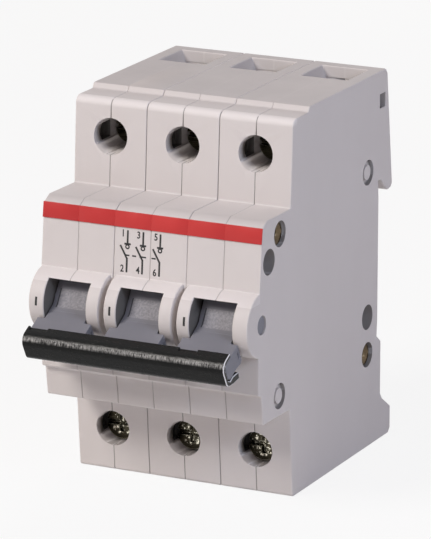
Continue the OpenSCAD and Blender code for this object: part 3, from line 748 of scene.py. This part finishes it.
def front_strip():
    """Red strip with a fine groove at each line between two half shells."""
    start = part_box("front_strip")[0].x
    lines = [start + count * HALF_PITCH * MM for count in range(1, 2 * len(POLES))]

    def on_a_line(vert):
        return min(abs(vert.co.x - x) for x in lines) < 1e-6

    bm = merged_copy("front_strip")
    for x in lines:
        bmesh.ops.bisect_plane(bm, geom=bm.verts[:] + bm.edges[:] + bm.faces[:], plane_co=(x, 0, 0),
                               plane_no=(1, 0, 0), dist=1e-7)
    cuts = [e for e in bm.edges
            if on_a_line(e.verts[0]) and abs(e.verts[0].co.x - e.verts[1].co.x) < 1e-7
            and abs(e.verts[0].co.z - e.verts[1].co.z) > 1 * MM
            and e.calc_face_angle(1.0) < 0.1 and all(f.normal.y < 0 for f in e.link_faces)]
    grooved = bmesh.ops.bevel(bm, geom=cuts, offset=0.07 * MM, offset_type="OFFSET", segments=2, profile=0.5,
                              affect="EDGES", clamp_overlap=True, material=-1)
    floor = {v for f in grooved["faces"] for v in f.verts if on_a_line(v)}
    bmesh.ops.translate(bm, verts=list(floor), vec=-NOSE_OUT * STRIP_GROOVE * MM)
    soften(bm, 0.06, sharper_than=50)
    piece = place_piece("front_strip_print", bm, STRIP, "housing", "front_strip", 30)
    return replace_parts(piece, "front_strip")


front_strip()


def nose_height(z):
    """Distance up the nose front of a point at height z."""
    return (z - NOSE_FOOT[1]) * hypot(*NOSE_LEAN) / NOSE_LEAN[1]


def stroke(bm, start, end, width):
    """Printed line between two points (x, z) of the nose front."""
    x0, v0, x1, v1 = start[0], nose_height(start[1]), end[0], nose_height(end[1])
    length = hypot(x1 - x0, v1 - v0)
    turn = Matrix.Rotation(atan2(v1 - v0, x1 - x0), 4, "Z")
    middle = Matrix.Translation(Vector(((x0 + x1) / 2, (v0 + v1) / 2, (INK_STAND - INK_SINK) / 2)) * MM)
    size = Matrix.Diagonal(Vector((length, width, INK_SINK + INK_STAND)) * MM).to_4x4()
    bmesh.ops.create_cube(bm, size=1, matrix=NOSE_FACE @ middle @ turn @ size)


def printed_ring(bm, centre, radius, width):
    """Printed ring on the nose front."""
    made = bmesh.ops.create_circle(bm, segments=28, radius=radius * MM, cap_ends=True)["verts"]
    face = made[0].link_faces[0]
    bmesh.ops.inset_individual(bm, faces=[face], thickness=width * MM)
    bmesh.ops.delete(bm, geom=[face], context="FACES_ONLY")
    rim = list({f for v in made for f in v.link_faces})
    raised = bmesh.ops.extrude_face_region(bm, geom=rim)["geom"]
    tops = [v for v in raised if isinstance(v, bmesh.types.BMVert)]
    bmesh.ops.translate(bm, verts=tops, vec=(0, 0, (INK_SINK + INK_STAND) * MM))
    everything = list({v for f in rim for v in f.verts} | set(tops))
    seat = Matrix.Translation(Vector((centre[0], nose_height(centre[1]), -INK_SINK)) * MM)
    bmesh.ops.transform(bm, matrix=NOSE_FACE @ seat, verts=everything)


def digit(text, x, z):
    """Plain narrow numeral printed on the nose front, centred on (x, z)."""
    curve = bpy.data.curves.new("numeral", "FONT")
    curve.body = text
    curve.size = NUMERAL_SIZE * MM
    curve.align_x = "CENTER"
    curve.align_y = "CENTER"
    curve.extrude = (INK_SINK + INK_STAND) / 2 * MM
    curve.offset = 0.045 * MM
    holder = bpy.data.objects.new("numeral", curve)
    mesh = bpy.data.meshes.new_from_object(holder)
    bpy.data.objects.remove(holder)
    seat = Matrix.Translation(Vector((x, nose_height(z), (INK_STAND - INK_SINK) / 2)) * MM)
    mesh.transform(NOSE_FACE @ seat @ Matrix.Diagonal((NUMERAL_SLIM, 1, 1, 1)))
    settle(bpy.data.objects.new("numeral_" + text, mesh), INK, "housing", None, 0)


def switch_symbol(bm, x):
    """One pole of the isolating switch symbol: lead, bar, ring, open blade and the lead below."""
    stroke(bm, (x, 17.0), (x, 14.1), SYMBOL_LINE)
    stroke(bm, (x - 0.75, 14.0), (x + 0.75, 14.0), SYMBOL_LINE)
    printed_ring(bm, (x, 13.4), 0.55, 0.3)
    stroke(bm, (x - 1.72, 13.6), (x - 0.06, 10.85), SYMBOL_LINE)
    stroke(bm, (x - 0.04, 11.0), (x - 0.04, 7.8), SYMBOL_LINE)


def switch_drawing():
    """Three symbols and the dashes of the link between their blades."""
    bm = bmesh.new()
    for x in SYMBOLS_X:
        switch_symbol(bm, x)
    for start, end in LINK_DASHES:
        stroke(bm, (start, LINK_Z), (end, LINK_Z), LINK_LINE)
    place_piece("switch_drawing", bm, INK, "housing", None, 0)


# The printed drawing, in millimetres on the nose front
SYMBOLS_X = (-5.55, -1.82, 2.28)
SYMBOL_LINE = 0.42
LINK_DASHES = ((-6.0, -5.0), (-4.35, -3.4), (-2.6, -1.0), (0.3, 1.3))
LINK_LINE = 0.32
LINK_Z = 11.55
NUMERAL_SIZE = 2.15
NUMERAL_SLIM = 0.82
NUMERALS = (("1", -6.66, 16.2), ("3", -2.92, 16.15), ("5", 1.22, 16.2),
            ("2", -6.7, 8.5), ("4", -2.88, 8.5), ("6", 1.14, 8.45))

switch_drawing()
for text, x, z in NUMERALS:
    digit(text, x, z)

CHEEK_R = 7.2
CHEEK_MARKS_X = (-24.4, -6.57, 11.29)
CHEEK_MARK_W = 0.5


def cheek_marks():
    """Short upright ink bars on the left cheeks, bent to the cheek's curve."""
    bm = bmesh.new()
    out = PIVOT.y - CHEEK_R - (INK_STAND - INK_SINK) / 2
    for x in CHEEK_MARKS_X:
        first = bmesh.ops.create_grid(bm, x_segments=1, y_segments=1, size=0.5)["verts"]
        bmesh.ops.scale(bm, verts=first, vec=(CHEEK_MARK_W * MM, (INK_SINK + INK_STAND) * MM, 1))
        bmesh.ops.translate(bm, verts=first, vec=Vector((x, out, PIVOT.z)) * MM)
        face = first[0].link_faces[:]
        bmesh.ops.rotate(bm, verts=first, cent=PIVOT * MM, matrix=Matrix.Rotation(radians(1.4), 3, "X"))
        bmesh.ops.spin(bm, geom=face, cent=PIVOT * MM, axis=(1, 0, 0), angle=radians(-15.5), steps=5)
    bmesh.ops.recalc_face_normals(bm, faces=bm.faces[:])
    place_piece("cheek_marks", bm, INK, "housing", None, 30)


cheek_marks()

# ---- handle ---------------------------------------------------------------

for pole in POLES:
    softened(f"toggle_{pole}", 0.22, HANDLE, "handle", "handle", segments=2)
softened("tie_bar", 0.22, BAR, "handle", "tie_bar", segments=3)
softened("crank_pins", 0.12, YOKE_METAL, "handle", "steel")

# ---- contacts -------------------------------------------------------------

WIRE_R = 0.3
COIL_TURNS = 5
CONTACT_COIL_R = 1.7
CLIP_COIL_R = 0.65

for pole in POLES:
    carriage = f"contact_carriage_{pole}"
    softened(f"yoke_{pole}", 0.12, YOKE_METAL, carriage, "steel")
    softened(f"contact_carrier_{pole}", 0.25, CARRIER, carriage, "carrier")
    softened(f"contact_bridge_{pole}", 0.15, BRIDGE_METAL, carriage, "copper")
    softened(f"upper_contact_{pole}", 0.15, FIXED_METAL, "housing", "copper")
    softened(f"lower_contact_{pole}", 0.15, FIXED_METAL, "housing", "copper")
    softened(f"arc_chute_{pole}", 0.08, CHUTE, "housing", "arc_plates", segments=1)

    low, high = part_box(f"contact_spring_{pole}")
    lying = Matrix.Translation((pole_x(pole) * MM, low.y, 0)) @ Matrix.Rotation(-pi / 2, 4, "X")
    spring = coil(f"contact_spring_{pole}_coil", lying, (high.y - low.y) / MM, CONTACT_COIL_R, WIRE_R,
                  COIL_TURNS, WIRE_METAL, carriage)
    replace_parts(spring, f"contact_spring_{pole}")

# ---- terminals ------------------------------------------------------------

for pole in POLES:
    for level in ("upper", "lower"):
        softened(f"{level}_clamp_{pole}", 0.2, CAGE_METAL, f"{level}_clamp_{pole}", "clamp_steel")
        softened(f"{level}_screw_{pole}", 0.22, SCREW_METAL, f"{level}_screw_{pole}", "screw", segments=3)

# ---- rail clips -----------------------------------------------------------

for pole in POLES:
    clip = f"rail_clip_{pole}"
    softened(clip, 0.3, CLIP, clip, "rail_clip")
    low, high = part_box(f"clip_spring_{pole}")
    foot = Vector((pole_x(pole) * MM, (low.y + high.y) / 2, low.z))
    spring = coil(f"clip_spring_{pole}_coil", Matrix.Translation(foot), (high.z - low.z) / MM, CLIP_COIL_R,
                  WIRE_R, COIL_TURNS, WIRE_METAL)
    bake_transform(spring)
    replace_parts(spring, f"clip_spring_{pole}")

# ---- floor, light and camera ----------------------------------------------


def seen_directly(board):
    """1 for what the camera sees itself, in a reflection or through glass."""
    seen = board.add("ShaderNodeLightPath").outputs
    return board.either(seen["Is Camera Ray"], seen["Is Glossy Ray"], seen["Is Transmission Ray"])


def lit_floor():
    """Pale floor that takes the object's shadow and fades into the background."""
    bm = bmesh.new()
    bmesh.ops.create_grid(bm, x_segments=1, y_segments=1, size=3.0)
    bmesh.ops.translate(bm, verts=bm.verts[:], vec=(0, 0, cad_box[0].z))
    mesh = bpy.data.meshes.new("floor")
    bm.to_mesh(mesh)
    bm.free()
    floor = bpy.data.objects.new("floor", mesh)
    bpy.context.scene.collection.objects.link(floor)
    material = bpy.data.materials.new("Pale floor")
    material.use_nodes = True
    b = Board(material.node_tree)
    shader = material.node_tree.nodes["Principled BSDF"]
    shader.inputs["Roughness"].default_value = 0.85
    b.wire(shader.inputs["Base Color"], b.mix(b.noise(3.0), (0.80, 0.80, 0.80, 1), (0.82, 0.82, 0.82, 1)))
    glow = b.add("ShaderNodeEmission", {"Strength": 1.0})
    share = b.both(seen_directly(b), FLOOR_GLOW)
    both = b.add("ShaderNodeMixShader", {0: share, 1: shader.outputs[0], 2: glow.outputs[0]})
    b.wire(material.node_tree.nodes["Material Output"].inputs[0], both.outputs[0])
    mesh.materials.append(material)


def studio_world():
    """White background over a weak warm ambient light."""
    world = bpy.data.worlds.new("Studio")
    bpy.context.scene.world = world
    world.use_nodes = True
    b = Board(world.node_tree)
    ambient = b.add("ShaderNodeBackground", {"Color": (1.0, 0.817, 0.837, 1), "Strength": 0.2})
    white = b.add("ShaderNodeBackground", {"Color": (1, 1, 1, 1), "Strength": 1.0})
    both = b.add("ShaderNodeMixShader", {0: seen_directly(b), 1: ambient.outputs[0], 2: white.outputs[0]})
    b.wire(world.node_tree.nodes["World Output"].inputs[0], both.outputs[0])


def softbox(name, place, size, power, colour):
    """Square soft light that points at the middle of the object."""
    light = bpy.data.lights.new(name, "AREA")
    light.shape = "RECTANGLE"
    light.size = size
    light.size_y = size
    light.energy = power
    light.color = colour
    lamp = bpy.data.objects.new(name, light)
    lamp.location = place
    lamp.rotation_euler = (Vector(LIGHT_AIM) - Vector(place)).to_track_quat("-Z", "Y").to_euler()
    bpy.context.scene.collection.objects.link(lamp)


def view_camera(azimuth, elevation, distance, focal, aside, above):
    """Camera turned about the origin, in degrees and millimetres; focal is in image widths."""
    a, e = radians(azimuth), radians(elevation)
    back = Vector((sin(a) * cos(e), -cos(a) * cos(e), sin(e)))
    right = Vector((cos(a), sin(a), 0))
    up = back.cross(right)
    camera = bpy.data.cameras.new("View camera")
    camera.sensor_fit = "HORIZONTAL"
    camera.sensor_width = 36
    camera.lens = 36 * focal
    camera.clip_start = 0.05
    holder = bpy.data.objects.new("View camera", camera)
    turn = Matrix((right, up, back)).transposed().to_4x4()
    holder.matrix_world = Matrix.Translation((right * aside + up * above + back * distance) * MM) @ turn
    bpy.context.scene.collection.objects.link(holder)
    bpy.context.scene.camera = holder


FLOOR_GLOW = 0.86
LIGHT_AIM = (0, -0.03, 0)

lit_floor()
studio_world()
softbox("Key", (-0.5, -0.8, 0.74), 0.4, 9.1, (1.0, 0.954, 0.904))
softbox("Side fill", (0.6, -0.3, 0.35), 0.25, 1.8, (0.66, 0.76, 0.94))
softbox("Back fill", (-0.1, 0.95, 0.2), 0.4, 2.5, (1.0, 0.96, 0.95))
view_camera(azimuth=26.146, elevation=15.706, distance=991.507, focal=10.138, aside=-12.954, above=-6.141)

scene = bpy.context.scene
scene.view_settings.view_transform = "Standard"
